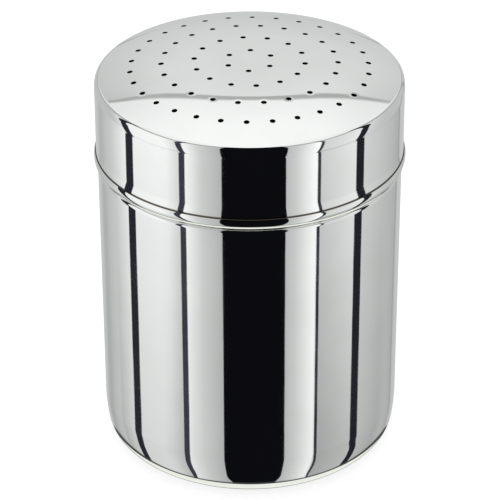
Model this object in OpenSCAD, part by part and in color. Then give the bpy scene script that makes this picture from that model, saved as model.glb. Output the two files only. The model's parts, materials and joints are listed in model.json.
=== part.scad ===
// Spice shaker in polished stainless steel: a drawn cup, and a domed, perforated lid that
// pushes on over the cup's rim. Each piece is one sheet, revolved about the Z axis.
// Millimetres. +Z is up, and the origin is the centre of the ring that the cup stands on.

/* [Sheet and fits] */
// Thickness of the steel sheet
sheet_t = 0.4; // [0.3:0.05:0.45]
// Clearance on the radius between the cup's rim and the inside of the lid
rim_clearance = 0.05; // [0.02:0.01:0.1]
// Least gap between the cup's rim and the underside of the lid's top
seat_gap = 0.1; // [0.05:0.05:0.5]
// Gap between the two layers of each folded hem
hem_slit = 0.04; // [0.02:0.01:0.1]

/* [Cup] */
// Height of the cup, from the surface it stands on to its rim
cup_h = 90.6; // [60:0.1:150]
// Outer diameter of the cup's wall
cup_d = 69.5; // [62:0.5:90]
// Radius of the corner between wall and base
corner_r = 4; // [2:0.5:6]
// Height at which the wall starts to curve in towards the base
heel_h = 10; // [7:0.5:16]
// Radius of that curve
heel_r = 45; // [30:1:80]

/* [Base] */
// Width of the flat ring that the cup stands on
stand_w = 2; // [1:0.5:4]
// Depth of the recessed panel inside the ring
panel_depth = 0.8; // [0.5:0.1:1.5]
// Radius of the two bends between ring and panel
panel_bend_r = 1.5; // [1:0.1:2.5]
// Slope of the step between those bends, in degrees
panel_slope = 30; // [20:1:38]

/* [Neck] */
// Radius of the shoulder where the wall turns in
shoulder_r = 1; // [0.6:0.1:1.4]
// Slope of the shoulder, in degrees
shoulder_slope = 45; // [35:1:55]
// Radius of the bend where the shoulder meets the neck
neck_bend_r = 0.6; // [0.3:0.1:0.9]
// Height of the outward hem along the rim
rim_hem_h = 2.2; // [1.5:0.1:5]

/* [Lid] */
// Height of the lid, from its mouth to the middle of its top
lid_h = 23.55; // [18:0.05:40]
// How far the top of the lid's wall stands out past the cup's wall
lid_out = 0.25; // [0.15:0.05:0.4]
// Height from the top of the cup's straight wall to the lid's mouth
lid_gap = 1.5; // [1.4:0.05:4]
// How much the lid's wall widens on the radius, down to its flare
lid_taper = 0.06; // [0.02:0.01:0.1]

/* [Lid top] */
// Radius of the shallow curve across the middle of the top
crown_r = 450; // [300:10:600]
// Diameter of that middle
crown_d = 26; // [16:1:36]
// Radius of the curve that falls from the middle to the edge
dome_r = 82; // [65:1:120]
// Radius of the edge between top and band
edge_r = 1.35; // [0.5:0.05:1.6]
// Radius of the band's bulge
band_r = 9.5; // [8:0.5:14]
// How far the band bulges past the wall
band_out = 0.04; // [0.03:0.01:0.1]
// Depth of the fullest part of the band below the middle of the top
band_full_drop = 6.2; // [6:0.1:6.4]
// Depth of the band's lower end below the middle of the top
band_drop = 6.6; // [6.5:0.1:6.8]
// Height of the fine step below the band
band_step_h = 0.08; // [0.05:0.01:0.2]

/* [Lid hem] */
// Height of the folded hem along the lid's mouth
hem_h = 2.3; // [2:0.1:2.6]
// Radius of the hem's rounded face
hem_face_r = 2.3; // [2:0.1:2.6]
// Radius of the rounding where the face meets the slit
hem_tip_r = 0.06; // [0.04:0.01:0.1]
// How much the flare above the hem widens the wall on the radius
flare_out = 0.08; // [0.03:0.01:0.15]
// Radius of the flare's hollow curve
flare_r = 34; // [10:1:50]
// Radius of the curve that turns the flare straight again
flare_end_r = 4; // [2:0.5:8]

/* [Holes] */
// Diameter of each hole
hole_d = 1.3; // [0.8:0.1:2]
// Diameter of each ring of holes
ring_d = [10.7, 25, 39.7, 53.7]; // [5:0.1:60]
// Turn of the first hole in each ring, in degrees
ring_turn = [27.8, 19.6, 0.8, 4.6]; // [0:0.1:60]
// Distance from hole to hole along a ring
hole_pitch = 5.63; // [4:0.01:8]

/* [Hidden] */
$fn = 180;
hole_facets = 24;
// Most that a chord may stray from its arc, and the widest angle of one chord.
chord_error = 0.008;
chord_angle = 15;
// Distance under which two points count as one.
same_point = 0.0005;

// The lid's top. Heights are from its mouth, and each curve starts where the last one ends.
lid_r = cup_d / 2 + lid_out;
crown_angle = asin(crown_d / 2 / crown_r);
crown_z = lid_h - crown_r;
dome_x = (crown_r - dome_r) * sin(crown_angle);
dome_z = crown_z + (crown_r - dome_r) * cos(crown_angle);
band_x = lid_r + band_out - band_r;
band_z = lid_h - band_full_drop;

// The edge's centre, as far inside the dome's arc as inside the band's.
dome_to_band = [band_x - dome_x, band_z - dome_z];
centres_apart = norm(dome_to_band);
edge_reach = dome_r - edge_r;
edge_along = (pow(edge_reach, 2) - pow(band_r - edge_r, 2) + pow(centres_apart, 2)) / (2 * centres_apart);
edge_aside = sqrt(pow(edge_reach, 2) - pow(edge_along, 2));
across = [dome_to_band[1], -dome_to_band[0]];
edge_c = [dome_x, dome_z] + (edge_along * dome_to_band + edge_aside * across) / centres_apart;
dome_end = atan2(edge_c[1] - dome_z, edge_c[0] - dome_x);
band_start = atan2(edge_c[1] - band_z, edge_c[0] - band_x);
band_end = -asin((band_drop - band_full_drop) / band_r);
wall_top = lid_h - band_drop - band_step_h;

// The lid's mouth: the flare, and the hem that is folded out and up around a fine slit.
foot_r = lid_r + lid_taper + flare_out;
flare_angle = acos(1 - flare_out / (flare_r + flare_end_r));
flare_z = hem_h + (flare_r + flare_end_r) * sin(flare_angle);
flare_x = lid_r + lid_taper + flare_r;
mouth_r = foot_r - sheet_t;
face_x = foot_r + hem_slit + sheet_t - hem_face_r;
tip_x = foot_r + hem_slit + hem_tip_r;
tip_angle = acos((tip_x - face_x) / (hem_face_r - hem_tip_r));
tip_z = hem_h - hem_tip_r;
face_z = tip_z - (hem_face_r - hem_tip_r) * sin(tip_angle);
fold_room = mouth_r - face_x - face_z + hem_face_r;
fold_spare = pow(hem_face_r, 2) - pow(mouth_r - face_x, 2) - pow(face_z, 2);
fold_r = sqrt(pow(fold_room, 2) + fold_spare) - fold_room;
fold_start = atan2(fold_r - face_z, mouth_r + fold_r - face_x);

// The cup's rim runs inside the lid's wall and its edge. The centre of its round stays below
// the dome, and no higher than the edge's own centre, where the edge starts to close in.
rim_round_r = sheet_t + hem_slit / 2;
rim_r = min(lid_r, edge_c[0] + edge_r) - sheet_t - rim_clearance;
crest_r = rim_r - rim_round_r;
seat_r = dome_r - sheet_t - rim_round_r - seat_gap;
seat_z = dome_z + sqrt(pow(seat_r, 2) - pow(crest_r - dome_x, 2));
lid_z = cup_h - rim_round_r - min(seat_z, edge_c[1]);

// The cup's shoulder: a round, a slope and a bend.
wall_r = cup_d / 2;
wall_h = lid_z - lid_gap;
neck_r = rim_r - sheet_t - hem_slit;
slope_in = wall_r - neck_r - (shoulder_r + neck_bend_r) * (1 - cos(shoulder_slope));
slope_up = slope_in / tan(shoulder_slope) + (shoulder_r + neck_bend_r) * sin(shoulder_slope);
neck_h = wall_h + slope_up;

// The cup's corner leaves the heel's curve where both point the same way.
heel_angle = asin((heel_h - corner_r) / (heel_r - corner_r));
corner_x = wall_r - heel_r + (heel_r - corner_r) * cos(heel_angle);
stand_in_r = corner_x - stand_w;
step_run = (panel_depth - 2 * panel_bend_r * (1 - cos(panel_slope))) / tan(panel_slope);
panel_r = stand_in_r - 2 * panel_bend_r * sin(panel_slope) - step_run;

// Points along an arc, from one direction to another.
function arc(centre, r, start, end) =
    let (
        chord = min(chord_angle, 2 * acos(1 - chord_error / max(r, chord_error))),
        steps = ceil(abs(end - start) / chord)
    )
    [for (i = [0 : steps]) let (a = start + (end - start) * i / steps) centre + r * [cos(a), sin(a)]];

function reverse(points) = [for (i = [len(points) - 1 : -1 : 0]) points[i]];

// The points without those that lie on the one before.
function distinct(points) =
    [for (i = [0 : len(points) - 1]) if (i == 0 || norm(points[i] - points[i - 1]) > same_point) points[i]];

// The cup's sheet, from the middle of its base to the end of its rim hem. Depth 0 is the
// outer face, and a depth of the sheet's thickness is the inner one.
function cup_face(depth) = concat(
    [[0, panel_depth + depth]],
    arc([panel_r, panel_depth - panel_bend_r], panel_bend_r + depth, 90, 90 - panel_slope),
    arc([stand_in_r, panel_bend_r], panel_bend_r - depth, -90 - panel_slope, -90),
    arc([corner_x, corner_r], corner_r - depth, -90, -heel_angle),
    arc([wall_r - heel_r, heel_h], heel_r - depth, -heel_angle, 0),
    arc([wall_r - shoulder_r, wall_h], shoulder_r - depth, 0, shoulder_slope),
    arc([neck_r + neck_bend_r, neck_h], neck_bend_r + depth, 180 + shoulder_slope, 180),
    arc([crest_r, cup_h - rim_round_r], hem_slit / 2 + depth, 180, 0),
    [[crest_r + hem_slit / 2 + depth, cup_h - rim_hem_h]]
);

// The lid's sheet, from the middle of its top to its folded hem.
function lid_face(depth) = concat(
    arc([0, crown_z], crown_r - depth, 90, 90 - crown_angle),
    arc([dome_x, dome_z], dome_r - depth, 90 - crown_angle, dome_end),
    arc(edge_c, edge_r - depth, dome_end, band_start),
    arc([band_x, band_z], band_r - depth, band_start, band_end),
    [[lid_r - depth, wall_top]],
    arc([flare_x, flare_z], flare_r + depth, 180, 180 + flare_angle),
    arc([foot_r - flare_end_r, hem_h], flare_end_r - depth, flare_angle, 0)
);

// The slit, the hem's tip, its rounded face and the fold along the mouth.
function lid_hem() = concat(
    arc([foot_r + hem_slit / 2, rim_round_r], hem_slit / 2, 180, 360),
    arc([tip_x, tip_z], hem_tip_r, 180, tip_angle),
    arc([face_x, face_z], hem_face_r, tip_angle, fold_start),
    arc([mouth_r + fold_r, fold_r], fold_r, fold_start, -180)
);

module cup() {
    color("silver") rotate_extrude()
        polygon(distinct(concat(cup_face(0), reverse(cup_face(sheet_t)))));
}

module lid() {
    color("silver") translate([0, 0, lid_z]) difference() {
        rotate_extrude()
            polygon(distinct(concat(lid_face(0), lid_hem(), reverse(lid_face(sheet_t)))));
        for (ring = [0 : len(ring_d) - 1]) hole_ring(ring_d[ring], ring_turn[ring]);
    }
}

// Drills for one ring of holes, reaching from the band's lower end up through the top.
module hole_ring(diameter, turn) {
    count = round(PI * diameter / hole_pitch);
    for (i = [0 : count - 1])
        rotate(turn + 360 * i / count)
            translate([diameter / 2, 0, lid_h - band_drop])
                cylinder(h = 2 * band_drop, d = hole_d, $fn = hole_facets);
}

cup();
lid();
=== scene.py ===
"""Spice shaker in mirror-polished stainless steel, laid out as a Blender add-on.

The cup and the lid are turned from sections made of arcs and straights, so that every point of
the polished skin carries the exact direction it faces. Rings of punches then pierce the lid.
"""

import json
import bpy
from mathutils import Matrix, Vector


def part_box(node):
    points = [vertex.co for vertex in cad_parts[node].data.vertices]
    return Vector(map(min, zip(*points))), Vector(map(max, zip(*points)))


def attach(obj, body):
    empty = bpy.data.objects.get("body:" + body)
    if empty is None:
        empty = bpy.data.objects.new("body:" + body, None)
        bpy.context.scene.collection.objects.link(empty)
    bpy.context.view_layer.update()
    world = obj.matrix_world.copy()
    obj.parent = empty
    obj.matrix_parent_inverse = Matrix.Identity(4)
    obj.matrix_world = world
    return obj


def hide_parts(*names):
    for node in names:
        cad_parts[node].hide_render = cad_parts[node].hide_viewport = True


bl_info = {
    "name": "Spice Shaker",
    "version": (1, 0, 0),
    "blender": (4, 5, 0),
    "location": "View3D > Sidebar > Shaker",
    "description": "Builds a polished spice shaker and the studio around it",
    "category": "Add Mesh",
}

from math import acos, asin, atan2, ceil, cos, degrees, hypot, pi, radians, sin, sqrt, tan
from typing import NamedTuple

import bpy
import numpy as np
from bpy.props import FloatProperty, FloatVectorProperty, IntProperty, PointerProperty
from bpy.types import Operator, Panel, PropertyGroup
from mathutils import Euler, Vector

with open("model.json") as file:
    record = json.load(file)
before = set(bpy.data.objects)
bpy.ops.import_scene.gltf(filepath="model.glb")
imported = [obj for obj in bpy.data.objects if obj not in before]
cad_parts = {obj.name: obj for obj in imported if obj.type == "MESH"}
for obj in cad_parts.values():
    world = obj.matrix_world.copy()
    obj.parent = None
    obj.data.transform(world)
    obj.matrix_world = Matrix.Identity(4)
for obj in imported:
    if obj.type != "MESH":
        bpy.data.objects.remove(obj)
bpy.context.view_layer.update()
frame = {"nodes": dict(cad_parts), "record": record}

MM = 0.001
# Distance under which two points of a section count as one.
SAME_POINT = 0.0005 * MM
# How far a chord may stray from its arc, and how many degrees it may turn.
CHORD_ERROR = 0.002 * MM
CHORD_ANGLE = 6

cup_low, cup_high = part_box("cup")
lid_low, lid_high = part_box("lid")
wall_mount = next(mount for mount in frame["record"]["mounts"] if mount["name"] == "wall")
# The cup's rim is the widest part of it above the lid's mouth.
rim_radius = max(
    hypot(vertex.co.x, vertex.co.y)
    for vertex in frame["nodes"]["cup"].data.vertices
    if vertex.co.z > lid_low.z
)


def length(name, default, description):
    """A size in metres that a user may change."""
    return FloatProperty(
        name=name, description=description, default=default, min=0, precision=5,
        subtype="DISTANCE", unit="LENGTH",
    )


def angle(name, default, description):
    """An angle, given in degrees."""
    return FloatProperty(
        name=name, description=description, default=radians(default), subtype="ANGLE", unit="ROTATION"
    )


def share(name, default, description):
    """A share of a whole."""
    return FloatProperty(
        name=name, description=description, default=default, min=0, max=1, subtype="FACTOR"
    )


def tone(name, default, description):
    """A colour of the steel."""
    return FloatVectorProperty(
        name=name, description=description, default=default, size=3, min=0, max=1, subtype="COLOR"
    )


def grey_level(name, default, description):
    """A grey from 0 to 255."""
    return IntProperty(name=name, description=description, default=default, min=0, max=255)


class ShakerSheet(PropertyGroup):
    """The steel sheet and the fits between the two pieces."""

    gauge: length("Gauge", 0.4 * MM, "Thickness of the steel sheet")
    hem_slit: length("Hem slit", 0.04 * MM, "Gap between the two layers of a folded hem")
    rim_radius: length("Rim radius", rim_radius, "Outer radius of the cup's rim")
    steps_around: IntProperty(
        name="Steps around", description="Facets in one turn of each piece", default=360, min=12
    )


class ShakerCup(PropertyGroup):
    """The drawn cup."""

    height: length("Height", cup_high.z, "Height of the cup up to its rim")
    wall_radius: length("Wall radius", wall_mount["dims"]["r_mm"] * MM, "Outer radius of the wall")
    wall_below_mouth: length("Wall below mouth", 1.5 * MM, "From the wall's top to the lid's mouth")
    corner_radius: length("Corner", 4 * MM, "Radius of the corner between wall and base")
    heel_height: length("Heel height", 10 * MM, "Height at which the wall starts to curve in")
    heel_radius: length("Heel curve", 45 * MM, "Radius of that curve")
    stand_width: length("Stand ring", 2 * MM, "Width of the flat ring that the cup stands on")
    panel_depth: length("Panel depth", 0.8 * MM, "Depth of the recessed panel inside the ring")
    panel_bend: length("Panel bends", 1.5 * MM, "Radius of the bends between ring and panel")
    panel_slope: angle("Panel slope", 30, "Slope of the step between those bends")
    shoulder_radius: length("Shoulder", 1 * MM, "Radius of the shoulder where the wall turns in")
    shoulder_slope: angle("Shoulder slope", 45, "Slope of the shoulder")
    neck_bend: length("Neck bend", 0.6 * MM, "Radius of the bend where the shoulder meets the neck")
    rim_hem: length("Rim hem", 2.2 * MM, "Height of the outward hem along the rim")


class ShakerLid(PropertyGroup):
    """The drawn lid, with its heights above the mouth."""

    mouth_height: length("Mouth height", lid_low.z, "Height of the lid's mouth above the floor")
    height: length("Height", lid_high.z - lid_low.z, "From the mouth to the middle of the top")
    stand_out: length("Stand out", 0.25 * MM, "How far the lid's wall stands out past the cup's")
    taper: length("Taper", 0.06 * MM, "How much the wall widens on the radius down to its flare")
    crown_radius: length("Crown curve", 450 * MM, "Radius of the curve across the middle")
    crown_width: length("Crown width", 26 * MM, "Diameter of that middle")
    dome_radius: length("Dome curve", 82 * MM, "Radius of the curve from the middle to the edge")
    edge_radius: length("Edge", 1.35 * MM, "Radius of the edge between top and band")
    band_radius: length("Band bulge", 9.5 * MM, "Radius of the band's bulge")
    band_out: length("Band out", 0.04 * MM, "How far the band bulges past the wall")
    band_full_drop: length("Fullest band", 6.2 * MM, "Depth of the band's fullest part")
    band_drop: length("Band end", 6.6 * MM, "Depth of the band's lower end")
    band_step: length("Band step", 0.08 * MM, "Height of the fine step below the band")
    hem_height: length("Hem height", 2.3 * MM, "Height of the folded hem along the mouth")
    hem_face: length("Hem face", 2.3 * MM, "Radius of the hem's rounded face")
    hem_tip: length("Hem tip", 0.06 * MM, "Radius of the rounding where that face meets the slit")
    flare_out: length("Flare out", 0.08 * MM, "How much the flare widens the wall on the radius")
    flare_radius: length("Flare curve", 34 * MM, "Radius of the flare's hollow curve")
    flare_end: length("Flare end", 4 * MM, "Radius of the curve that ends the flare")


class ShakerHoles(PropertyGroup):
    """The rings of holes in the lid."""

    diameter: length("Hole", 1.3 * MM, "Diameter of each hole")
    pitch: length("Pitch", 5.63 * MM, "Distance from hole to hole along a ring")
    facets: IntProperty(name="Facets", description="Sides of each punch", default=32, min=8)
    rings: FloatVectorProperty(
        name="Rings", description="Diameters of the rings", size=4, precision=4,
        default=(10.7 * MM, 25 * MM, 39.7 * MM, 53.7 * MM), subtype="NONE", unit="LENGTH",
    )
    turns: FloatVectorProperty(
        name="Turns", description="Turn of the first hole in each ring", size=4,
        default=[radians(turn) for turn in (27.8, 19.6, 0.8, 4.6)], unit="ROTATION",
    )


class ShakerSteel(PropertyGroup):
    """The mirror-polished steel."""

    colour: tone("Colour", (0.9, 0.9, 0.89), "Colour of the polished steel")
    roughness: share("Roughness", 0.035, "Mean roughness of the polish")
    # Painted shade: a dark brown band in the steel's colour, just above the lid's hem, stands in for
    # the shade in the crease there. These two set its colour and how far up it reaches.
    crease_shade_colour: tone(
        "Seam colour", (0.2, 0.175, 0.155), "Colour of the unpolished seam above the lid's hem"
    )
    crease_shade_height: length("Seam height", 0.25 * MM, "How far up from the hem that seam shows")
    # Painted shade: a cut edge keeps only this share of the steel's colour, so that the holes' walls
    # look as dark as the shaded inside of the shaker.
    cut_painted_shade: share("Cut shade", 0.02, "Share of the colour that a cut edge keeps")
    wave_size: length("Wave size", 14 * MM, "Width of the broad waves that drawing leaves")
    wave_height: length("Wave height", 0.012 * MM, "Height of those waves")
    ripple_size: length("Ripple size", 4 * MM, "Width of the finer ripples between them")
    ripple_height: length("Ripple height", 0.002 * MM, "Height of those ripples")
    line_size: length("Polish line size", 0.25 * MM, "Spacing of the fine lines from polishing")
    line_height: length("Polish line height", 0.00002 * MM, "Depth of those lines")
    dish_width: length("Dish width", 0.7 * MM, "How far from a hole the punch drags the sheet down")
    dish_depth: length("Dish depth", 0.005 * MM, "How deep it drags the sheet at the hole")


class ShakerStudio(PropertyGroup):
    """The camera, the floor and the light."""

    lens: FloatProperty(
        name="Lens", description="Focal length", default=178.7 * MM, subtype="DISTANCE_CAMERA",
        unit="CAMERA",
    )
    distance: length("Distance", 502.4 * MM, "Distance of the camera in front of the axis")
    camera_height: length("Camera height", 337 * MM, "Height of the camera above the floor")
    pitch: angle("Pitch", 30.089, "How far the camera looks down")
    roll: angle("Roll", 0.142, "Turn of the camera about its line of sight")
    floor_size: length("Floor", 4.0, "Side of the floor")
    floor_grey: share("Floor grey", 0.35, "Brightness of the pale floor")
    floor_fill: share("Floor fill", 0.74, "Light that the floor itself gives towards the camera")
    lamp_size: length("Lamp size", 0.5, "Side of the soft lamp above the shaker")
    lamp_height: length("Lamp height", 0.8, "Height of that lamp above the floor")
    lamp_back: length("Lamp back", 0.1, "How far behind the shaker's axis that lamp hangs")
    lamp_power: FloatProperty(
        name="Lamp power", description="Power of that lamp", default=1.5, min=0, unit="POWER"
    )
    overhead_grey: grey_level("Overhead", 249, "Grey of the overhead panel, 0 to 255")
    frame_grey: grey_level("Frame", 172, "Grey of that panel's frame, 0 to 255")
    tint: FloatVectorProperty(
        name="Tint", description="Tint of the studio's panels and cards, with the steel's own grey",
        size=3, default=(1.09, 1.12, 1.11), min=0, max=2,
    )


# ---------------------------------------------------------------- sections


class Arc(NamedTuple):
    """Part of a circle in a section, from one direction to another in degrees.

    The skin of a section is on its left, so a clockwise arc faces away from its centre.
    """

    centre: tuple
    radius: float
    start: float
    end: float

    def at(self, direction):
        return (
            self.centre[0] + self.radius * cos(radians(direction)),
            self.centre[1] + self.radius * sin(radians(direction)),
        )

    def points(self):
        """Points along the arc, close enough together for its radius."""
        chord = 2 * degrees(acos(1 - CHORD_ERROR / max(self.radius, CHORD_ERROR)))
        chord = min(CHORD_ANGLE, chord)
        steps = max(3, ceil(abs(self.end - self.start) / chord))
        return [self.at(self.start + (self.end - self.start) * i / steps) for i in range(steps + 1)]

    def facing(self, r, z):
        side = 1 if self.end < self.start else -1
        return side * (r - self.centre[0]), side * (z - self.centre[1])

    def reverse(self):
        return self._replace(start=self.end, end=self.start)


class Straight(NamedTuple):
    """A straight part of a section."""

    start: tuple
    end: tuple

    def points(self):
        return [self.start, self.end]

    def facing(self, r, z):
        return self.start[1] - self.end[1], self.end[0] - self.start[0]

    def reverse(self):
        return Straight(self.end, self.start)


class Soft(NamedTuple):
    """A short straight whose facing turns from one direction to another, in degrees."""

    start: tuple
    end: tuple
    first: float
    last: float

    def points(self):
        return [self.start, self.end]

    def facing(self, r, z):
        share = (z - self.start[1]) / (self.end[1] - self.start[1])
        direction = np.radians(self.first + (self.last - self.first) * share)
        return np.cos(direction), np.sin(direction)

    def reverse(self):
        return Soft(self.end, self.start, self.last + 180, self.first + 180)


def joined(parts):
    """The parts, with a straight wherever one doesn't start where the last one ended."""
    chain = parts[:1]
    for part in parts[1:]:
        last, first = chain[-1].points()[-1], part.points()[0]
        if hypot(first[0] - last[0], first[1] - last[1]) > SAME_POINT:
            chain.append(Straight(last, first))
        chain.append(part)
    return chain


def backwards(parts):
    """The parts in the other direction."""
    return [part.reverse() for part in reversed(parts)]


def neck_radius(shaker):
    """The neck's outer radius, inside the rim's outward hem."""
    sheet = shaker.sheet
    return sheet.rim_radius - sheet.gauge - sheet.hem_slit


def cup_face(shaker, depth):
    """One face of the cup's sheet, from the middle of its base to the end of its rim hem."""
    cup, slit = shaker.cup, shaker.sheet.hem_slit
    slope, shoulder = degrees(cup.panel_slope), degrees(cup.shoulder_slope)
    rim_round = shaker.sheet.gauge + slit / 2
    crest_r = shaker.sheet.rim_radius - rim_round
    neck_r = neck_radius(shaker)

    # The corner leaves the heel's curve where both point the same way.
    heel_reach = cup.heel_radius - cup.corner_radius
    heel_angle = degrees(asin((cup.heel_height - cup.corner_radius) / heel_reach))
    heel = (cup.wall_radius - cup.heel_radius, cup.heel_height)
    corner_x = heel[0] + heel_reach * cos(radians(heel_angle))
    stand_r = corner_x - cup.stand_width
    bends_drop = 2 * cup.panel_bend * (1 - cos(cup.panel_slope))
    step_run = (cup.panel_depth - bends_drop) / tan(cup.panel_slope)
    panel_r = stand_r - 2 * cup.panel_bend * sin(cup.panel_slope) - step_run

    # The shoulder: a round, a slope and a bend.
    wall_height = shaker.lid.mouth_height - cup.wall_below_mouth
    turn_in = (cup.wall_radius - cup.shoulder_radius, wall_height)
    rounds = cup.shoulder_radius + cup.neck_bend
    slope_in = cup.wall_radius - neck_r - rounds * (1 - cos(cup.shoulder_slope))
    neck_height = wall_height + slope_in / tan(cup.shoulder_slope) + rounds * sin(cup.shoulder_slope)

    hem_r = crest_r + slit / 2 + depth
    crest = (crest_r, cup.height - rim_round)
    return joined([
        Straight((0, cup.panel_depth + depth), (panel_r, cup.panel_depth + depth)),
        Arc((panel_r, cup.panel_depth - cup.panel_bend), cup.panel_bend + depth, 90, 90 - slope),
        Arc((stand_r, cup.panel_bend), cup.panel_bend - depth, -90 - slope, -90),
        Arc((corner_x, cup.corner_radius), cup.corner_radius - depth, -90, -heel_angle),
        Arc(heel, cup.heel_radius - depth, -heel_angle, 0),
        Arc(turn_in, cup.shoulder_radius - depth, 0, shoulder),
        Arc((neck_r + cup.neck_bend, neck_height), cup.neck_bend + depth, 180 + shoulder, 180),
        Arc(crest, slit / 2 + depth, 180, 0),
        Straight((hem_r, crest[1]), (hem_r, cup.height - cup.rim_hem)),
    ])


def lid_face(shaker, depth):
    """One face of the lid's sheet, from the middle of its top to its folded hem."""
    lid = shaker.lid
    wall_r = shaker.cup.wall_radius + lid.stand_out
    base = lid.mouth_height
    top = base + lid.height

    # The crown and the dome, which starts where the crown ends.
    crown_angle = degrees(asin(lid.crown_width / 2 / lid.crown_radius))
    crown_z = top - lid.crown_radius
    dome_reach = lid.crown_radius - lid.dome_radius
    dome = (dome_reach * sin(radians(crown_angle)), crown_z + dome_reach * cos(radians(crown_angle)))

    # The edge's centre lies as far inside the dome's arc as inside the band's.
    band = (wall_r + lid.band_out - lid.band_radius, top - lid.band_full_drop)
    dome_to_band = Vector((band[0] - dome[0], band[1] - dome[1]))
    apart = dome_to_band.length
    reach = lid.dome_radius - lid.edge_radius
    along = (reach**2 - (lid.band_radius - lid.edge_radius) ** 2 + apart**2) / (2 * apart)
    aside = sqrt(reach**2 - along**2)
    across = Vector((dome_to_band.y, -dome_to_band.x))
    edge = Vector(dome) + (along * dome_to_band + aside * across) / apart
    dome_end = degrees(atan2(edge.y - dome[1], edge.x - dome[0]))
    band_start = degrees(atan2(edge.y - band[1], edge.x - band[0]))
    band_end = -degrees(asin((lid.band_drop - lid.band_full_drop) / lid.band_radius))

    # The flare, which widens the wall above the hem.
    foot_r = wall_r + lid.taper + lid.flare_out
    curves = lid.flare_radius + lid.flare_end
    flare_angle = degrees(acos(1 - lid.flare_out / curves))
    flare_z = base + lid.hem_height + curves * sin(radians(flare_angle))
    flare_x = wall_r + lid.taper + lid.flare_radius
    wall_top = (wall_r - depth, top - lid.band_drop - lid.band_step)
    wall_foot = (flare_x - lid.flare_radius - depth, flare_z)
    bulge = Arc(band, lid.band_radius - depth, band_start, band_end)
    return joined([
        Arc((0, crown_z), lid.crown_radius - depth, 90, 90 - crown_angle),
        Arc(dome, lid.dome_radius - depth, 90 - crown_angle, dome_end),
        Arc(tuple(edge), lid.edge_radius - depth, dome_end, band_start),
        bulge,
        Soft(bulge.points()[-1], wall_top, band_end, 0),
        Straight(wall_top, wall_foot),
        Arc((flare_x, flare_z), lid.flare_radius + depth, 180, 180 + flare_angle),
        Arc((foot_r - lid.flare_end, base + lid.hem_height), lid.flare_end - depth, flare_angle, 0),
    ])


def lid_hem(shaker):
    """The slit, the hem's tip, its rounded face and the fold along the mouth."""
    lid, sheet = shaker.lid, shaker.sheet
    base = lid.mouth_height
    slit_r = sheet.hem_slit / 2
    foot_r = shaker.cup.wall_radius + lid.stand_out + lid.taper + lid.flare_out
    mouth_r = foot_r - sheet.gauge
    face_x = foot_r + sheet.hem_slit + sheet.gauge - lid.hem_face
    tip_x = foot_r + sheet.hem_slit + lid.hem_tip
    tip_z = lid.hem_height - lid.hem_tip
    tip = degrees(acos((tip_x - face_x) / (lid.hem_face - lid.hem_tip)))
    face_z = tip_z - (lid.hem_face - lid.hem_tip) * sin(radians(tip))

    # The fold touches the mouth, the bottom and the inside of the face's arc.
    room = mouth_r - face_x - face_z + lid.hem_face
    spare = lid.hem_face**2 - (mouth_r - face_x) ** 2 - face_z**2
    fold_r = sqrt(room**2 + spare) - room
    fold_start = degrees(atan2(fold_r - face_z, mouth_r + fold_r - face_x))
    return [
        Arc((foot_r + slit_r, base + sheet.gauge + slit_r), slit_r, 180, 360),
        Arc((tip_x, base + tip_z), lid.hem_tip, 180, tip),
        Arc((face_x, base + face_z), lid.hem_face, tip, fold_start),
        Arc((mouth_r + fold_r, base + fold_r), fold_r, fold_start, -180),
    ]


def cup_section(shaker):
    """The cup's closed section: the inside of the sheet, then its outside."""
    gauge = shaker.sheet.gauge
    return joined(cup_face(shaker, gauge) + backwards(cup_face(shaker, 0)))


def lid_section(shaker):
    """The lid's closed section: the outside of the sheet, the hem, then its inside."""
    gauge = shaker.sheet.gauge
    return joined(lid_face(shaker, 0) + lid_hem(shaker) + backwards(lid_face(shaker, gauge)))


# ---------------------------------------------------------------- node trees


class Wiring:
    """Adds nodes to a tree and joins them up."""

    def __init__(self, tree):
        self.tree = tree

    def node(self, kind, inputs=(), **settings):
        node = self.tree.nodes.new(kind)
        for name, value in settings.items():
            setattr(node, name, value)
        for key, value in dict(inputs).items():
            self.feed(node.inputs[key], value)
        return node

    def feed(self, socket, value):
        if isinstance(value, bpy.types.NodeSocket):
            self.tree.links.new(value, socket)
        else:
            socket.default_value = value

    def math(self, operation, *values, clamp=False):
        node = self.node("ShaderNodeMath", operation=operation, use_clamp=clamp)
        for socket, value in zip(node.inputs, values):
            self.feed(socket, value)
        return node.outputs[0]

    def whole(self, operation, *values):
        node = self.node("FunctionNodeIntegerMath", operation=operation)
        for socket, value in zip(node.inputs, values):
            self.feed(socket, value)
        return node.outputs[0]

    def hypot(self, one, other):
        """The length of the diagonal of these two."""
        squares = (self.math("POWER", value, 2) for value in (one, other))
        return self.math("SQRT", self.math("ADD", *squares))

    def blend(self, factor, base, other):
        """The colour base, which turns to other as factor goes from 0 to 1."""
        node = self.node("ShaderNodeMix", {"Factor": factor}, data_type="RGBA")
        colours = {socket.name: socket for socket in node.inputs if socket.type == "RGBA"}
        self.feed(colours["A"], base)
        self.feed(colours["B"], other)
        return next(socket for socket in node.outputs if socket.type == "RGBA")

    def between(self, value, low, high, bottom=0.0, top=1.0, smooth=True):
        """Value, from low to high, as bottom to top, and held at the ends."""
        kind = "SMOOTHSTEP" if smooth else "LINEAR"
        node = self.node("ShaderNodeMapRange", interpolation_type=kind)
        for socket, given in zip(node.inputs, (value, low, high, bottom, top)):
            self.feed(socket, given)
        return node.outputs[0]


def new_tree(name, inputs):
    """A Geometry Nodes tree with these named inputs, and its wiring, its input and its output node."""
    tree = bpy.data.node_groups.new(name, "GeometryNodeTree")
    tree.interface.new_socket("Geometry", in_out="INPUT", socket_type="NodeSocketGeometry")
    for label, kind in inputs:
        tree.interface.new_socket(label, in_out="INPUT", socket_type=kind)
    tree.interface.new_socket("Geometry", in_out="OUTPUT", socket_type="NodeSocketGeometry")
    wiring = Wiring(tree)
    return wiring, wiring.node("NodeGroupInput").outputs, wiring.node("NodeGroupOutput").inputs


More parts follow.
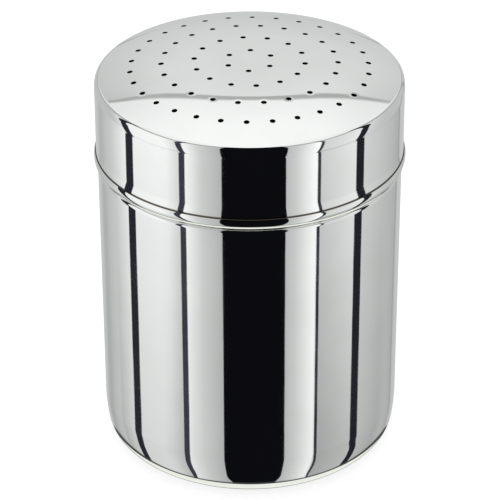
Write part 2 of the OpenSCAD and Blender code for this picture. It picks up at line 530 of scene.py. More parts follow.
def turning_tree():
    """Turns a section, a chain of points in the XZ plane, once round the Z axis."""
    wiring, given, result = new_tree(
        "Turn Sheet", [("Steps around", "NodeSocketInt"), ("Steel", "NodeSocketMaterial")]
    )
    steps = given["Steps around"]
    section = wiring.node("GeometryNodeAttributeDomainSize", {"Geometry": given["Geometry"]})
    columns = wiring.whole("ADD", steps, 1)
    grid = wiring.node(
        "GeometryNodeMeshGrid",
        {"Vertices X": section.outputs["Point Count"], "Vertices Y": columns},
    )

    # Each row of the grid is one point of the section, and each column one step of the turn.
    index = wiring.node("GeometryNodeInputIndex").outputs[0]
    row = wiring.whole("DIVIDE", index, columns)
    column = wiring.whole("MODULO", index, columns)
    place = wiring.node("GeometryNodeInputPosition").outputs[0]
    point = wiring.node("GeometryNodeSampleIndex", data_type="FLOAT_VECTOR", domain="POINT")
    wiring.feed(point.inputs["Geometry"], given["Geometry"])
    wiring.feed(point.inputs["Value"], place)
    wiring.feed(point.inputs["Index"], row)
    turn = wiring.math("DIVIDE", wiring.math("MULTIPLY", column, 2 * pi), steps)
    turned = wiring.node("ShaderNodeVectorRotate", rotation_type="Z_AXIS")
    wiring.feed(turned.inputs["Vector"], point.outputs[0])
    wiring.feed(turned.inputs["Angle"], turn)
    sheet = wiring.node(
        "GeometryNodeSetPosition",
        {"Geometry": grid.outputs["Mesh"], "Position": turned.outputs[0]},
    )

    # Each face keeps the number of the part of the section that it comes from.
    part = wiring.node("GeometryNodeInputNamedAttribute", {"Name": "part"}, data_type="INT")
    parts = wiring.node("GeometryNodeSampleIndex", data_type="INT", domain="POINT")
    wiring.feed(parts.inputs["Geometry"], given["Geometry"])
    wiring.feed(parts.inputs["Value"], part.outputs[0])
    wiring.feed(parts.inputs["Index"], wiring.whole("DIVIDE", index, steps))
    labelled = wiring.node(
        "GeometryNodeStoreNamedAttribute",
        {"Geometry": sheet.outputs[0], "Name": "part", "Value": parts.outputs[0]},
        data_type="INT", domain="FACE",
    )
    closed = wiring.node(
        "GeometryNodeMergeByDistance", {"Geometry": labelled.outputs[0], "Distance": SAME_POINT}
    )
    real = wiring.node("GeometryNodeRealizeInstances", {"Geometry": closed.outputs[0]})
    steel = wiring.node(
        "GeometryNodeSetMaterial", {"Geometry": real.outputs[0], "Material": given["Steel"]}
    )
    wiring.feed(result["Geometry"], steel.outputs[0])
    return wiring.tree


def punching_tree():
    """Pierces a sheet with one ring of upright punches."""
    wiring, given, result = new_tree(
        "Punch Ring",
        [
            ("Ring diameter", "NodeSocketFloat"),
            ("First turn", "NodeSocketFloat"),
            ("Pitch", "NodeSocketFloat"),
            ("Hole diameter", "NodeSocketFloat"),
            ("Facets", "NodeSocketInt"),
            ("Height", "NodeSocketFloat"),
            ("Reach", "NodeSocketFloat"),
            ("Cut steel", "NodeSocketMaterial"),
        ],
    )
    ring_r = wiring.math("DIVIDE", given["Ring diameter"], 2)
    around = wiring.math("MULTIPLY", given["Ring diameter"], pi)
    count = wiring.math("ROUND", wiring.math("DIVIDE", around, given["Pitch"]))
    ring = wiring.node("GeometryNodeMeshCircle", {"Vertices": count, "Radius": ring_r})
    turn = wiring.node("ShaderNodeCombineXYZ", {"Z": given["First turn"]})
    height = wiring.node("ShaderNodeCombineXYZ", {"Z": given["Height"]})
    placed = wiring.node(
        "GeometryNodeTransform",
        {"Geometry": ring.outputs[0], "Rotation": turn.outputs[0], "Translation": height.outputs[0]},
    )
    punch = wiring.node(
        "GeometryNodeMeshCylinder",
        {
            "Vertices": given["Facets"],
            "Radius": wiring.math("DIVIDE", given["Hole diameter"], 2),
            "Depth": given["Reach"],
        },
    )
    punches = wiring.node(
        "GeometryNodeInstanceOnPoints",
        {"Points": placed.outputs[0], "Instance": punch.outputs["Mesh"]},
    )
    real = wiring.node("GeometryNodeRealizeInstances", {"Geometry": punches.outputs[0]})
    marked = wiring.node(
        "GeometryNodeStoreNamedAttribute",
        {"Geometry": real.outputs[0], "Name": "punched", "Value": True},
        data_type="BOOLEAN", domain="FACE",
    )
    pierced = wiring.node("GeometryNodeMeshBoolean", operation="DIFFERENCE", solver="MANIFOLD")
    wiring.feed(pierced.inputs["Mesh 1"], given["Geometry"])
    wiring.feed(pierced.inputs["Mesh 2"], marked.outputs[0])
    punched = wiring.node(
        "GeometryNodeInputNamedAttribute", {"Name": "punched"}, data_type="BOOLEAN"
    )
    steel = wiring.node(
        "GeometryNodeSetMaterial",
        {
            "Geometry": pierced.outputs["Mesh"],
            "Selection": punched.outputs[0],
            "Material": given["Cut steel"],
        },
    )
    wiring.feed(result["Geometry"], steel.outputs[0])
    return wiring.tree


def add_modifier(piece, tree, values):
    """Adds the tree to the piece as a modifier, with these values for its named inputs."""
    modifier = piece.modifiers.new(tree.name, "NODES")
    modifier.node_group = tree
    for item in tree.interface.items_tree:
        if item.in_out == "INPUT" and item.name in values:
            modifier[item.identifier] = values[item.name]
    return modifier


def bake(piece):
    """Turns what the piece's modifiers make into its plain mesh."""
    evaluated = piece.evaluated_get(bpy.context.evaluated_depsgraph_get())
    mesh = bpy.data.meshes.new_from_object(evaluated)
    piece.modifiers.clear()
    piece.data = mesh
    mesh.name = piece.name


# ---------------------------------------------------------------- pieces


def section_piece(name, section):
    """A new object that holds the section as a chain of points in the XZ plane."""
    points, parts = [], []
    for number, part in enumerate(section):
        points += part.points()[:-1]
        parts += [number] * (len(part.points()) - 1)
    points.append(section[-1].points()[-1])
    parts.append(len(section) - 1)
    mesh = bpy.data.meshes.new(name)
    edges = [(i, i + 1) for i in range(len(points) - 1)]
    mesh.from_pydata([(r, 0, z) for r, z in points], edges, [])
    mesh.attributes.new("part", "INT", "POINT").data.foreach_set("value", parts)
    piece = bpy.data.objects.new(name, mesh)
    bpy.context.scene.collection.objects.link(piece)
    return piece


def face_exactly(mesh, section):
    """Gives every corner of the turned faces the direction that its part of the section faces.

    The walls of the holes belong to no part, and keep their own.
    """
    corners = len(mesh.loops)
    at = np.zeros(len(mesh.vertices) * 3)
    mesh.vertices.foreach_get("co", at)
    vertex = np.zeros(corners, int)
    mesh.loops.foreach_get("vertex_index", vertex)
    place = at.reshape(-1, 3)[vertex]
    flat = np.zeros(len(mesh.polygons) * 3)
    mesh.polygons.foreach_get("normal", flat)
    sizes = np.zeros(len(mesh.polygons), int)
    mesh.polygons.foreach_get("loop_total", sizes)
    flat = np.repeat(flat.reshape(-1, 3), sizes, axis=0)
    part_of_face = np.zeros(len(mesh.polygons), int)
    mesh.attributes["part"].data.foreach_get("value", part_of_face)
    part_of_corner = np.repeat(part_of_face, sizes)

    around = np.hypot(place[:, 0], place[:, 1])
    outward = place[:, :2] / np.maximum(around, SAME_POINT)[:, None]
    facing = np.zeros((corners, 3))
    for number, part in enumerate(section):
        own = part_of_corner == number
        sideways, up = part.facing(around[own], place[own, 2])
        facing[own, :2] = outward[own] * np.atleast_1d(sideways)[:, None]
        facing[own, 2] = up
    facing /= np.maximum(np.linalg.norm(facing, axis=1), 1e-12)[:, None]

    # The walls of the holes face their holes, not the way that the sheet does.
    if "punched" in mesh.attributes:
        punched = np.zeros(len(mesh.polygons), bool)
        mesh.attributes["punched"].data.foreach_get("value", punched)
        punched = np.repeat(punched, sizes)
        facing[punched] = flat[punched]
    mesh.shade_smooth()
    mesh.normals_split_custom_set(facing)


def finish_piece(piece, body, node):
    """Makes the piece ride on its body, in place of its node."""
    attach(piece, body)
    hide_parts(node)


# ---------------------------------------------------------------- steel


# The smears that wiping leaves: how many to the metre, how much of the colour they keep, and the
# shares of the mean roughness that the clean steel and the smears have.
SMEARS_PER_METRE = 70.0
SMEAR_COLOUR = 0.97
CLEAN_ROUGHNESS = 0.7
SMEAR_ROUGHNESS = 1.4
# Roughness of a hole's wall, where it is cut and where it is torn.
CUT_ROUGHNESS = 0.4
TORN_ROUGHNESS = 0.6


def new_material(name):
    """A material with an empty node tree, and its wiring."""
    material = bpy.data.materials.new(name)
    material.use_nodes = True
    material.node_tree.nodes.clear()
    return material, Wiring(material.node_tree)


def ring_group():
    """How far a place lies from the nearest hole of a ring, seen from above."""
    tree = bpy.data.node_groups.new("Hole Ring", "ShaderNodeTree")
    tree.interface.new_socket("Place", in_out="INPUT", socket_type="NodeSocketVector")
    for label in ("Ring diameter", "First turn", "Pitch"):
        tree.interface.new_socket(label, in_out="INPUT", socket_type="NodeSocketFloat")
    tree.interface.new_socket("Distance", in_out="OUTPUT", socket_type="NodeSocketFloat")
    wiring = Wiring(tree)
    given = wiring.node("NodeGroupInput").outputs
    x, y = wiring.node("ShaderNodeSeparateXYZ", {"Vector": given["Place"]}).outputs[:2]
    radius = wiring.math("DIVIDE", given["Ring diameter"], 2)

    # The turn of the place past the hole next to it.
    count = wiring.math("DIVIDE", wiring.math("MULTIPLY", given["Ring diameter"], pi), given["Pitch"])
    half_step = wiring.math("DIVIDE", pi, wiring.math("ROUND", count))
    past = wiring.math("SUBTRACT", wiring.math("ARCTAN2", y, x), given["First turn"])
    past = wiring.math("WRAP", past, half_step, wiring.math("MULTIPLY", half_step, -1))

    reach = wiring.hypot(x, y)
    beyond = wiring.math("MULTIPLY", reach, wiring.math("COSINE", past))
    beyond = wiring.math("SUBTRACT", beyond, radius)
    aside = wiring.math("MULTIPLY", reach, wiring.math("SINE", past))
    wiring.node("NodeGroupOutput", {"Distance": wiring.hypot(beyond, aside)})
    return tree


def steel_material(name, steel, turn, crease_shade=None, holes=None):
    """Polished steel: faint ripples from drawing, finer lines round the axis from polishing.

    Between the two heights given as seam, the crease above the hem gets painted shade: a dark brown
    band in the colour.
    Round each of the holes, the sheet is dished a little.
    """
    material, wiring = new_material(name)
    place = wiring.node("ShaderNodeTexCoord").outputs["Object"]
    own = wiring.node("ShaderNodeMapping", {"Vector": place, "Rotation": (0, 0, turn)}).outputs[0]

    wave, ripple = (
        wiring.node(
            "ShaderNodeTexNoise", {"Vector": own, "Scale": 1 / size, "Detail": 1.0}
        ).outputs["Fac"]
        for size in (steel.wave_size, steel.ripple_size)
    )
    # The lines follow the polishing wheel: long round the axis, and short along the skin.
    along = wiring.node("ShaderNodeSeparateXYZ", {"Vector": own}).outputs
    around = wiring.hypot(along["X"], along["Y"])
    line_place = wiring.node("ShaderNodeCombineXYZ", {"X": around, "Y": along["Z"]}).outputs[0]
    lines = wiring.node(
        "ShaderNodeTexNoise",
        {"Vector": line_place, "Scale": 1 / steel.line_size, "Detail": 3.0, "Roughness": 0.6},
    ).outputs["Fac"]
    smear = wiring.node(
        "ShaderNodeTexNoise",
        {"Vector": own, "Scale": SMEARS_PER_METRE, "Detail": 4.0, "Roughness": 0.6},
    ).outputs["Fac"]

    shape = wiring.node("ShaderNodeBump", {"Height": wave, "Distance": steel.wave_height}).outputs[0]
    for relief, depth in ((ripple, steel.ripple_height), (lines, steel.line_height)):
        values = {"Height": relief, "Distance": depth, "Normal": shape}
        shape = wiring.node("ShaderNodeBump", values).outputs[0]
    if holes:
        group = ring_group()
        # A metre, which is farther away than any hole.
        nearest = 1.0
        for ring, first in zip(holes.rings, holes.turns):
            values = {"Place": place, "Ring diameter": ring, "First turn": first, "Pitch": holes.pitch}
            distance = wiring.node("ShaderNodeGroup", node_tree=group)
            for label, value in values.items():
                wiring.feed(distance.inputs[label], value)
            nearest = wiring.math("MINIMUM", nearest, distance.outputs[0])
        edge = holes.diameter / 2
        dish = wiring.between(nearest, edge, edge + steel.dish_width)
        values = {"Height": dish, "Distance": steel.dish_depth, "Normal": shape}
        shape = wiring.node("ShaderNodeBump", values).outputs[0]
    roughness = wiring.between(
        smear, 0.3, 0.7, steel.roughness * CLEAN_ROUGHNESS, steel.roughness * SMEAR_ROUGHNESS
    )
    clean = tuple(steel.colour) + (1,)
    dulled = tuple(channel * SMEAR_COLOUR for channel in steel.colour) + (1,)
    colour = wiring.blend(wiring.between(smear, 0.35, 0.65), dulled, clean)
    if crease_shade:
        # Painted shade: the crease above the hem is coloured dark brown, for the shade that falls into
        # it.
        low, high = crease_shade
        soft = (high - low) / 3
        up = along["Z"]
        crease_shade_cover = wiring.math(
            "MULTIPLY",
            wiring.between(up, low - soft, low),
            wiring.between(up, high + soft, high),
        )
        colour = wiring.blend(crease_shade_cover, colour, tuple(steel.crease_shade_colour) + (1,))
    shader = wiring.node(
        "ShaderNodeBsdfPrincipled",
        {
            "Base Color": colour,
            "Metallic": 1.0,
            "Roughness": roughness,
            "Normal": shape,
        },
    )
    wiring.node("ShaderNodeOutputMaterial", {"Surface": shader.outputs[0]})
    return material


def cut_material(steel):
    """The dull walls that a punch leaves, cut in some patches and torn in others. Their almost black
    colour is painted shade, for the dark inside of the shaker that they face.
    """
    material, wiring = new_material("Cut Steel")
    place = wiring.node("ShaderNodeTexCoord").outputs["Object"]
    tears = wiring.node(
        "ShaderNodeTexNoise", {"Vector": place, "Scale": 1 / steel.line_size, "Detail": 3.0}
    ).outputs["Fac"]
    shape = wiring.node("ShaderNodeBump", {"Height": tears, "Distance": steel.ripple_height})
    shader = wiring.node(
        "ShaderNodeBsdfPrincipled",
        {
            # Painted shade: the colour is cut down almost to black.
            "Base Color": tuple(channel * steel.cut_painted_shade for channel in steel.colour) + (1,),
            "Metallic": 1.0,
            "Roughness": wiring.between(tears, 0.3, 0.7, CUT_ROUGHNESS, TORN_ROUGHNESS),
            "Normal": shape.outputs[0],
        },
    )
    wiring.node("ShaderNodeOutputMaterial", {"Surface": shader.outputs[0]})
    return material


# ---------------------------------------------------------------- studio


class WallPanel(NamedTuple):
    """A pale panel round the table, from one bearing to another, and its grey at both ends.

    Bearings are in degrees from the camera's side, and grow to its right. Greys are 0 to 255.
    Sunk is the share of its light that the table's mirror image loses towards the shaker.
    """

    start: float
    end: float
    start_grey: int
    end_grey: int
    sunk: float


class DarkCard(NamedTuple):
    """A dark card between two panels, which narrows from shoulder to tip.

    Lean is how far it leans aside up there, and low lean how far its mirror image bulges aside.
    Blue is how much bluer than the panels it is.
    """

    bearing: float
    half_width: float
    lean: float
    low_lean: float
    shoulder: float
    tip: float
    grey: int
    blue: float


PANELS = (
    WallPanel(-180, -156, 198, 192, 0.08),
    WallPanel(-150, -144, 178, 176, 0.12),
    WallPanel(-136, -126, 190, 200, 0.12),
    WallPanel(-122, -105, 208, 240, 0.31),
    WallPanel(-95, -72, 241, 247, 0.27),
    WallPanel(-64, -54, 247, 221, 0.34),
    WallPanel(-49, -44, 249, 235, 0.16),
    WallPanel(-36, -20, 205, 178, 0.04),
    WallPanel(27, 34, 190, 205, 0.08),
    WallPanel(40, 50, 226, 255, 0.12),
    WallPanel(54, 84, 209, 233, 0.42),
    WallPanel(94, 120, 210, 192, 0.27),
    WallPanel(134, 144, 180, 172, 0.03),
    WallPanel(152, 180, 192, 198, 0.08),
)
CARDS = (
    DarkCard(3, 23.7, 0, 0, 46, 68, 12, 1.35),
    DarkCard(-51.3, 2.4, 3, -1, 46, 60, 58, 1.35),
    DarkCard(-100.5, 4.2, 14, -1.5, 44, 62, 40, 1.35),
    DarkCard(52.5, 1.3, -1, 1.2, 46, 60, 50, 1.35),
    DarkCard(89.6, 4, -6, 3.5, 44, 62, 34, 1.35),
    DarkCard(147, 2, 0, 0, 46, 60, 160, 1),
)

# Greys of the rest of the studio, 0 to 255. The overhead panel falls off by the last one.
ROOM_LOW_GREY = 198
ROOM_HIGH_GREY = 223
ROOM_SIDE_GREY = 190
TABLE_GREY = 238
TABLE_LINE_GREY = 70
TABLE_END_GREY = 125
OVERHEAD_FALL = 19
# How blue the table is, as a share of the panels' blue.
TABLE_BLUE = 0.94
# What lights the floor from all round.
SOFT_LIGHT = 0.9

# Heights over the horizon, in degrees, from where each of these starts to where it is full.
SUNK_HEIGHTS = (-27, -35)
ROOM_EDGE_HEIGHTS = (-28, -22)
ROOM_HEIGHTS = (0, 36)
TABLE_END_HEIGHTS = (-38, -42)
LEAN_HEIGHTS = (38, 50)
# The bulge of a card's mirror image lies between these two.
BULGE_TOP_HEIGHTS = (-35, -40)
BULGE_FOOT_HEIGHTS = (-48, -42)

# The overhead panel and its frame, on a level plane one unit above the shaker.
PANEL_FAR = 1.29
PANEL_NEAR = 0.78
PANEL_HALF_WIDTH = 1.2
PANEL_BOW = 0.95
PANEL_PEAK = 0.025
PANEL_SLANT = 0.02
PANEL_EDGE = (0.0, -0.07)
FRAME_EDGE = (0.085, 0.06)
# How many times broader the frame is at its sides and its near end.
FRAME_BROADER = 12
# The share that is left of the frame's far side near the corners.
FRAME_THINNEST = 0.25

# The table, on a level plane one unit below the shaker: an oval, its outline and its far end.
TABLE_HALF_WIDTH = 0.907
TABLE_HALF_LENGTH = 0.99
TABLE_CENTRE = 0.3
TABLE_EDGE = (0.99, 0.94)
TABLE_LINE_EDGE = (1.12, 1.09)
TABLE_END_EDGE = (0.4, 0.5)
TABLE_END_SPREAD = 0.9

# Where the room beyond the table falls off to both sides, as shares of the way ahead.
ROOM_MIDDLE = 0.03
ROOM_FALL = (0.1, 0.55)


def light_of(grey):
    """The light that a grey of 0 to 255 stands for."""
    share = grey / 255
    return share / 12.92 if share <= 0.04045 else ((share + 0.055) / 1.055) ** 2.4


def card_group():
    """How much of a direction a dark card covers, from 0 to 1."""
    tree = bpy.data.node_groups.new("Dark Card", "ShaderNodeTree")
    labels = (
        "Bearing", "Height", "Card bearing", "Half width", "Lean", "Low lean", "Shoulder", "Tip"
    )
    for label in labels:
        tree.interface.new_socket(label, in_out="INPUT", socket_type="NodeSocketFloat")
    tree.interface.new_socket("Cover", in_out="OUTPUT", socket_type="NodeSocketFloat")
    wiring = Wiring(tree)
    given = wiring.node("NodeGroupInput").outputs
    aside = wiring.math("SUBTRACT", given["Bearing"], given["Card bearing"])
    lean = wiring.between(given["Height"], *LEAN_HEIGHTS, 0.0, given["Lean"])
    aside = wiring.math("SUBTRACT", aside, lean)
    bulge = wiring.math(
        "MULTIPLY",
        wiring.between(given["Height"], *BULGE_TOP_HEIGHTS),
        wiring.between(given["Height"], *BULGE_FOOT_HEIGHTS),
    )
    bulge = wiring.math("MULTIPLY", bulge, given["Low lean"])
    aside = wiring.math("SUBTRACT", aside, bulge)
    aside = wiring.math("ABSOLUTE", wiring.math("WRAP", aside, 180.0, -180.0))
    rise = wiring.math("ABSOLUTE", given["Height"])
    narrowing = wiring.between(rise, given["Shoulder"], given["Tip"], 1.0, -0.2)
    half = wiring.math("MULTIPLY", given["Half width"], narrowing)
    inside = wiring.math("SUBTRACT", half, aside)
    wiring.node("NodeGroupOutput", {"Cover": wiring.between(inside, -0.3, 0.3)})
    return tree


def studio_world(studio):
    """What the steel mirrors: pale panels with dark cards between them, and an overhead panel.

    A glossy table mirrors the panels and the cards, so a direction counts the same above and
    below. The camera sees plain white past the floor, which is lit softly from all round.
    """
    world = bpy.data.worlds.new("Studio")
    world.use_nodes = True
    world.node_tree.nodes.clear()
    wiring = Wiring(world.node_tree)
    towards = wiring.node("ShaderNodeTexCoord").outputs["Generated"]
    x, y, z = wiring.node("ShaderNodeSeparateXYZ", {"Vector": towards}).outputs
    bearing = wiring.math("DEGREES", wiring.math("ARCTAN2", x, wiring.math("MULTIPLY", y, -1)))
    height = wiring.math("DEGREES", wiring.math("ARCSINE", z))

    def shade(grey, blueness=1):
        """The colour of this grey in the studio, and how blue it is beside the panels."""
        red, green, blue = (light_of(grey) * tint for tint in studio.tint)
        return red, green, blue * blueness, 1

    wall = wiring.node("ShaderNodeValToRGB", {"Fac": wiring.between(bearing, -180, 180, smooth=False)})
    stops = []
    for panel in PANELS:
        stops += [(panel.start, panel.start_grey, panel.sunk), (panel.end, panel.end_grey, panel.sunk)]
    ramp = wall.color_ramp
    while len(ramp.elements) < len(stops):
        ramp.elements.new(0.5)
    # The places come first, since the elements are sorted by them.
    for element, stop in zip(ramp.elements, stops):
        element.position = (stop[0] + 180) / 360
    for element, (_, grey, sunk) in zip(ramp.elements, stops):
        element.color = shade(grey)[:3] + (sunk,)

    # The ramp's alpha holds how much darker each panel gets towards the shaker.
    low = wiring.between(height, *SUNK_HEIGHTS, smooth=False)
    low = wiring.math("MULTIPLY", low, wall.outputs["Alpha"])
    view = wiring.blend(low, wall.outputs["Color"], (0, 0, 0, 1))

    # Past the table's far edge the room is paler. It brightens up to the overhead panel, and
    # falls off to both sides.
    over_edge = wiring.between(height, *ROOM_EDGE_HEIGHTS)
    far = wiring.math("MULTIPLY", over_edge, wiring.between(y, 0.1, 0.5))
    rise = wiring.between(height, *ROOM_HEIGHTS, smooth=False)
    room = wiring.blend(rise, shade(ROOM_LOW_GREY), shade(ROOM_HIGH_GREY))
    aside = wiring.math("DIVIDE", x, wiring.math("MAXIMUM", y, 0.01))
    aside = wiring.math("ABSOLUTE", wiring.math("SUBTRACT", aside, ROOM_MIDDLE))
    room = wiring.blend(wiring.between(aside, *ROOM_FALL), room, shade(ROOM_SIDE_GREY))
    view = wiring.blend(far, view, room)

    # Where a line of sight meets a level plane one unit above or below the shaker.
    level = wiring.math("MAXIMUM", wiring.math("ABSOLUTE", z), 0.001)
    rightwards = wiring.math("DIVIDE", x, level)
    sideways = wiring.math("ABSOLUTE", rightwards)
    away = wiring.math("DIVIDE", y, level)
    above = wiring.between(z, -0.001, 0.001)
    below = wiring.math("SUBTRACT", 1.0, above)

    # The overhead panel: a rectangle with a far edge that bows out, in a grey frame. The frame is
    # broad at its sides and its near end, and thin at its far end, above all near the corners.
    bow = wiring.math("MULTIPLY", wiring.math("POWER", sideways, 4), PANEL_BOW)
    bow = wiring.math("ADD", bow, wiring.between(sideways, 0.15, 0.0, 0.0, PANEL_PEAK))
    slant = wiring.math("MULTIPLY", rightwards, PANEL_SLANT)
    beyond = wiring.math("SUBTRACT", wiring.math("ADD", away, slant), bow)
    beyond = wiring.math("SUBTRACT", beyond, PANEL_FAR)
    beyond = wiring.math("DIVIDE", beyond, wiring.between(sideways, 0.1, 0.9, 1.0, FRAME_THINNEST))
    beside = wiring.math("SUBTRACT", sideways, PANEL_HALF_WIDTH)
    before = wiring.math("SUBTRACT", -PANEL_NEAR, away)
    nearer = wiring.math("MAXIMUM", beside, before)
    nearer = wiring.math("MINIMUM", nearer, wiring.math("DIVIDE", nearer, FRAME_BROADER))
    outside = wiring.math("MAXIMUM", beyond, nearer)
    frame_cover = wiring.math("MULTIPLY", above, wiring.between(outside, *FRAME_EDGE))
    view = wiring.blend(frame_cover, view, shade(studio.frame_grey))

    group = card_group()
    for card in CARDS:
        cover = wiring.node("ShaderNodeGroup", node_tree=group)
        values = (
            bearing, height, card.bearing, card.half_width, card.lean, card.low_lean, card.shoulder,
            card.tip,
        )
        for socket, value in zip(cover.inputs, values):
            wiring.feed(socket, value)
        view = wiring.blend(cover.outputs[0], view, shade(card.grey, card.blue))

    # The panel itself hangs in front of the cards, and is dimmer at its far end and its sides.
    panel_cover = wiring.math("MULTIPLY", above, wiring.between(outside, *PANEL_EDGE))
    dimming = wiring.math("ADD", wiring.between(away, 0.6, 1.3), wiring.between(sideways, 0.1, 0.6))
    dimming = wiring.math("DIVIDE", dimming, 2)
    overhead = wiring.blend(
        dimming, shade(studio.overhead_grey), shade(studio.overhead_grey - OVERHEAD_FALL)
    )
    view = wiring.blend(panel_cover, view, overhead)

    # Below, the table round the shaker: a pale oval with a dark outline, and a far end in shade.
    across = wiring.math("DIVIDE", sideways, TABLE_HALF_WIDTH)
    along = wiring.math("DIVIDE", wiring.math("SUBTRACT", away, TABLE_CENTRE), TABLE_HALF_LENGTH)
    oval = wiring.hypot(across, along)
    line_cover = wiring.math("MULTIPLY", below, wiring.between(oval, *TABLE_LINE_EDGE))
    view = wiring.blend(line_cover, view, shade(TABLE_LINE_GREY))
    oval_cover = wiring.math("MULTIPLY", below, wiring.between(oval, *TABLE_EDGE))
    view = wiring.blend(oval_cover, view, shade(TABLE_GREY, TABLE_BLUE))
    end = wiring.math("SUBTRACT", away, wiring.math("MULTIPLY", sideways, TABLE_END_SPREAD))
    steep = wiring.between(height, *TABLE_END_HEIGHTS)
    end_cover = wiring.math("MULTIPLY", steep, wiring.between(end, *TABLE_END_EDGE))
    view = wiring.blend(end_cover, view, shade(TABLE_END_GREY))

    path = wiring.node("ShaderNodeLightPath").outputs
    view = wiring.blend(path["Is Diffuse Ray"], view, (SOFT_LIGHT,) * 3 + (1,))
    view = wiring.blend(path["Is Camera Ray"], view, (1, 1, 1, 1))
    light = wiring.node("ShaderNodeBackground", {"Color": view, "Strength": 1.0})
    wiring.node("ShaderNodeOutputWorld", {"Surface": light.outputs[0]})
    return world


def floor_material(studio):
    """A pale floor that keeps the shaker's shadow and is white where nothing shades it."""
    material, wiring = new_material("Pale Floor")
    grey = (studio.floor_grey,) * 3 + (1,)
    diffuse = wiring.node("ShaderNodeBsdfDiffuse", {"Color": grey})
    seen = wiring.node("ShaderNodeLightPath").outputs["Is Camera Ray"]
    strength = wiring.math("MULTIPLY", seen, studio.floor_fill)
    fill = wiring.node("ShaderNodeEmission", {"Color": (1, 1, 1, 1), "Strength": strength})
    both = wiring.node("ShaderNodeAddShader")
    wiring.feed(both.inputs[0], diffuse.outputs[0])
    wiring.feed(both.inputs[1], fill.outputs[0])

    # From below, the floor is clear, so that it doesn't hide the base.
    under = wiring.node("ShaderNodeNewGeometry").outputs["Backfacing"]
    shader = wiring.node("ShaderNodeMixShader", {"Fac": under})
    wiring.feed(shader.inputs[1], both.outputs[0])
    wiring.feed(shader.inputs[2], wiring.node("ShaderNodeBsdfTransparent").outputs[0])
    wiring.node("ShaderNodeOutputMaterial", {"Surface": shader.outputs[0]})
    return material


# ---------------------------------------------------------------- operators


class SHAKER_OT_cup(Operator):
    """Makes the drawn cup"""

    bl_idname = "shaker.cup"
    bl_label = "Cup"
    bl_options = {"REGISTER", "UNDO"}

    def execute(self, context):
        shaker = context.scene.shaker
        section = cup_section(shaker)
        steel = steel_material("Cup Steel", shaker.steel, 0)
        cup = section_piece("cup_shell", section)
        add_modifier(cup, turning_tree(), {"Steps around": shaker.sheet.steps_around, "Steel": steel})
        bake(cup)
        face_exactly(cup.data, section)
        finish_piece(cup, "cup", "cup")
        return {"FINISHED"}


class SHAKER_OT_lid(Operator):
    """Makes the domed lid and pierces its rings of holes"""

    bl_idname = "shaker.lid"
    bl_label = "Lid"
    bl_options = {"REGISTER", "UNDO"}

    def execute(self, context):
        shaker = context.scene.shaker
        holes = shaker.holes
        section = lid_section(shaker)
        # Painted shade: the dark crease band runs from just under the top of the hem to a little above
        # it.
        crease_shade = shaker.lid.mouth_height + shaker.lid.hem_height
        crease_shade = (crease_shade - shaker.lid.hem_tip, crease_shade + shaker.steel.crease_shade_height)
        steel = steel_material("Lid Steel", shaker.steel, 1, crease_shade, holes)
        cut = cut_material(shaker.steel)
        lid = section_piece("lid_shell", section)
        add_modifier(lid, turning_tree(), {"Steps around": shaker.sheet.steps_around, "Steel": steel})
        punch = punching_tree()
        for ring, turn in zip(holes.rings, holes.turns):
            add_modifier(lid, punch, {
                "Ring diameter": ring,
                "First turn": turn,
                "Pitch": holes.pitch,
                "Hole diameter": holes.diameter,
                "Facets": holes.facets,
                "Height": shaker.lid.mouth_height + shaker.lid.height,
                "Reach": 2 * shaker.lid.band_drop,
                "Cut steel": cut,
            })
        bake(lid)
        face_exactly(lid.data, section)
        finish_piece(lid, "lid", "lid")
        return {"FINISHED"}


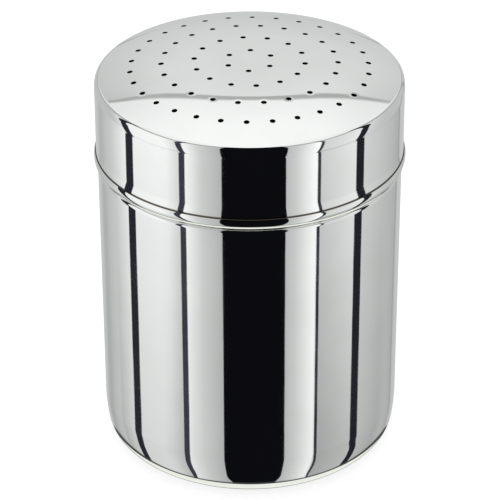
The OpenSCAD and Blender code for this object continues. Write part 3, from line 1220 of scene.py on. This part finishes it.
class SHAKER_OT_stage(Operator):
    """Makes the floor, the light and the camera"""

    bl_idname = "shaker.stage"
    bl_label = "Stage"
    bl_options = {"REGISTER", "UNDO"}

    def execute(self, context):
        studio = context.scene.shaker.studio
        half = studio.floor_size / 2
        mesh = bpy.data.meshes.new("floor")
        corners = [(-half, -half, 0), (half, -half, 0), (half, half, 0), (-half, half, 0)]
        mesh.from_pydata(corners, [], [(0, 1, 2, 3)])
        mesh.materials.append(floor_material(studio))
        floor = bpy.data.objects.new("floor", mesh)
        floor.visible_glossy = False
        context.scene.collection.objects.link(floor)

        context.scene.world = studio_world(studio)
        context.scene.view_settings.view_transform = "Standard"

        light = bpy.data.lights.new("Overhead", "AREA")
        light.size = studio.lamp_size
        light.energy = studio.lamp_power
        lamp = bpy.data.objects.new("Overhead", light)
        lamp.location = (0, studio.lamp_back, studio.lamp_height)
        lamp.visible_glossy = False
        context.scene.collection.objects.link(lamp)

        camera = bpy.data.cameras.new("Camera")
        camera.lens = studio.lens / MM
        camera.sensor_width = 36
        camera.clip_start = 0.01
        camera.clip_end = 20
        view = bpy.data.objects.new("Camera", camera)
        view.location = (0, -studio.distance, studio.camera_height)
        look = Euler((pi / 2 - studio.pitch, 0, 0)).to_matrix()
        view.rotation_euler = (look @ Euler((0, 0, -studio.roll)).to_matrix()).to_euler()
        context.scene.collection.objects.link(view)
        context.scene.camera = view
        return {"FINISHED"}


class ShakerSettings(PropertyGroup):
    """Everything that a user may change."""

    sheet: PointerProperty(type=ShakerSheet)
    cup: PointerProperty(type=ShakerCup)
    lid: PointerProperty(type=ShakerLid)
    holes: PointerProperty(type=ShakerHoles)
    steel: PointerProperty(type=ShakerSteel)
    studio: PointerProperty(type=ShakerStudio)


class SHAKER_PT_panel(Panel):
    """Lists the shaker's pieces and their sizes"""

    bl_idname = "SHAKER_PT_panel"
    bl_label = "Spice Shaker"
    bl_space_type = "VIEW_3D"
    bl_region_type = "UI"
    bl_category = "Shaker"

    def draw(self, context):
        for name in ("sheet", "cup", "lid", "holes", "steel", "studio"):
            group = getattr(context.scene.shaker, name)
            box = self.layout.box()
            box.label(text=name.capitalize())
            for prop in group.bl_rna.properties:
                if prop.identifier not in ("name", "rna_type"):
                    box.prop(group, prop.identifier)
        for operator in OPERATORS:
            self.layout.operator(operator.bl_idname)


OPERATORS = (SHAKER_OT_stage, SHAKER_OT_cup, SHAKER_OT_lid)
CLASSES = (
    ShakerSheet, ShakerCup, ShakerLid, ShakerHoles, ShakerSteel, ShakerStudio, ShakerSettings,
    *OPERATORS, SHAKER_PT_panel,
)


def register():
    for cls in CLASSES:
        bpy.utils.register_class(cls)
    bpy.types.Scene.shaker = PointerProperty(type=ShakerSettings)


def unregister():
    del bpy.types.Scene.shaker
    for cls in reversed(CLASSES):
        bpy.utils.unregister_class(cls)


def main():
    register()
    bpy.ops.shaker.stage()
    bpy.ops.shaker.cup()
    bpy.ops.shaker.lid()


if __name__ == "__main__":
    main()
